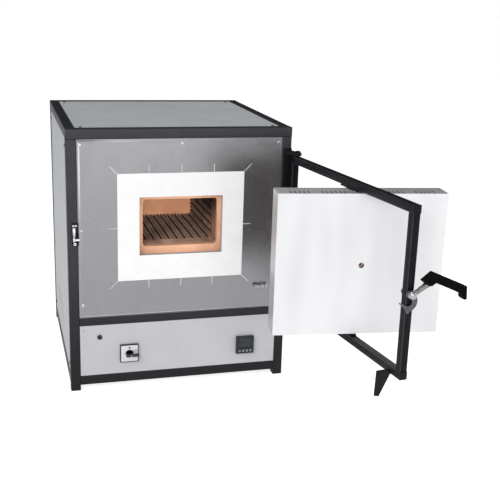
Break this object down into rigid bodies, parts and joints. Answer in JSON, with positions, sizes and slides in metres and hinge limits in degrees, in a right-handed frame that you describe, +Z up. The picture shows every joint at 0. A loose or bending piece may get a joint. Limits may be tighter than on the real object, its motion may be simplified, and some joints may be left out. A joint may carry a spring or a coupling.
{
  "type": "pottery kiln",
  "caption": "Front-loading electric muffle kiln for small pottery: black tube cabinet, stainless front, grooved clay chamber and a swing-out door frame with a pivoting panel",
  "frame": {"origin": "on the floor, midway between the four feet", "axes": "+Z up; the chamber opens towards -Y, where the user stands; +X is to the right of a user who faces the chamber"},
  "size_m": [0.8231, 1.1852, 0.68],
  "materials": {
    "frame_black": "satin",
    "cover_grey": "satin",
    "stainless": "satin",
    "zinc_steel": "satin",
    "chrome_steel": "polished",
    "black_steel": "satin",
    "black_grip": "gloss",
    "black_plastic": "matte",
    "grey_plastic": "matte",
    "display": "gloss",
    "fibre_board": "matte",
    "fire_clay": "matte",
    "sleeve_clay": "matte",
    "heating_wire": "matte",
    "door_skin": "satin",
    "white_plastic": "satin"
  },
  "bodies": {
    "cabinet": {"corner_posts": "frame_black", "front_rails": "frame_black", "rear_rails": "frame_black", "side_rails": "frame_black", "foot_caps": "black_plastic", "side_covers": "cover_grey", "top_cover": "cover_grey", "rear_cover": "cover_grey", "base_sheet": "zinc_steel", "tray": "zinc_steel", "front_plate": "stainless", "front_board": "fibre_board", "front_blanket": "fibre_board", "screw_lugs": "black_steel", "plate_screws": "zinc_steel", "rail_plugs": "black_plastic", "cover_screws": "black_steel", "control_panel": "cover_grey", "muffle_mouth": "fire_clay", "muffle_floor": "fire_clay", "muffle_sides": "fire_clay", "muffle_roof": "fire_clay", "muffle_back": "fire_clay", "heater_coils": "heating_wire", "heater_leads": "zinc_steel", "insulation": "fibre_board", "thermocouple": "sleeve_clay", "relay": "black_plastic", "terminal_block": "white_plastic", "cable_gland": "black_plastic", "switch_plate": "stainless", "switch_body": "black_plastic", "controller": "black_plastic", "controller_window": "display", "reset_bush": "black_plastic", "catch_plate": "zinc_steel", "catch_bolts": "zinc_steel", "panel_stop": "zinc_steel", "hinge_carrier": "black_steel", "hinge_pins": "zinc_steel", "hinge_drum": "zinc_steel"},
    "knob": {"switch_knob": "black_plastic"},
    "set_key": {"key_set": "grey_plastic"},
    "down_key": {"key_down": "grey_plastic"},
    "up_key": {"key_up": "grey_plastic"},
    "run_key": {"key_run": "grey_plastic"},
    "reset": {"reset_pin": "black_plastic"},
    "door": {"door_bars": "frame_black", "door_uprights": "frame_black", "door_fittings": "black_steel", "drive_cable": "zinc_steel", "interlock_fin": "black_steel"},
    "latch": {"latch_claw": "zinc_steel", "latch_shaft": "chrome_steel", "latch_grip": "black_grip"},
    "leaf": {"leaf_skin": "door_skin", "leaf_case": "stainless", "leaf_core": "fibre_board", "leaf_pivots": "zinc_steel", "peep_sleeve": "sleeve_clay"}
  },
  "joints": [
    {"name": "door_swing", "type": "hinge", "parent": "cabinet", "child": "door", "pos_m": [0.2905, -0.326, 0.43], "axis": [0, 0, 1], "range_deg": [-97.3, 35]},
    {"name": "panel_turn", "type": "hinge", "parent": "door", "child": "leaf", "pos_m": [0.32894, -0.62605, 0.43], "axis": [0, 0, 1], "range_deg": [-38, 105]},
    {"name": "latch_turn", "type": "hinge", "parent": "door", "child": "latch", "pos_m": [0.35914, -0.86969, 0.4235], "axis": [0.1271, -0.9919, 0], "range_deg": [-42, 15]},
    {"name": "switch_turn", "type": "hinge", "parent": "cabinet", "child": "knob", "pos_m": [-0.1345, -0.295, 0.0956], "axis": [0, -1, 0], "range_deg": [-90, 0]},
    {"name": "set_key_press", "type": "slide", "parent": "cabinet", "child": "set_key", "axis": [0, 1, 0], "range_m": [0, 0.0008], "stiffness_N_per_m": 1500, "springref_m": -0.0004},
    {"name": "down_key_press", "type": "slide", "parent": "cabinet", "child": "down_key", "axis": [0, 1, 0], "range_m": [0, 0.0008], "stiffness_N_per_m": 1500, "springref_m": -0.0004},
    {"name": "up_key_press", "type": "slide", "parent": "cabinet", "child": "up_key", "axis": [0, 1, 0], "range_m": [0, 0.0008], "stiffness_N_per_m": 1500, "springref_m": -0.0004},
    {"name": "run_key_press", "type": "slide", "parent": "cabinet", "child": "run_key", "axis": [0, 1, 0], "range_m": [0, 0.0008], "stiffness_N_per_m": 1500, "springref_m": -0.0004},
    {"name": "reset_press", "type": "slide", "parent": "cabinet", "child": "reset", "axis": [0, 1, 0], "range_m": [0, 0.002], "stiffness_N_per_m": 1000, "springref_m": -0.001}
  ],
  "couplings": [
    {"joint": "panel_turn", "follows": "door_swing", "ratio": -1.0769}
  ]
}
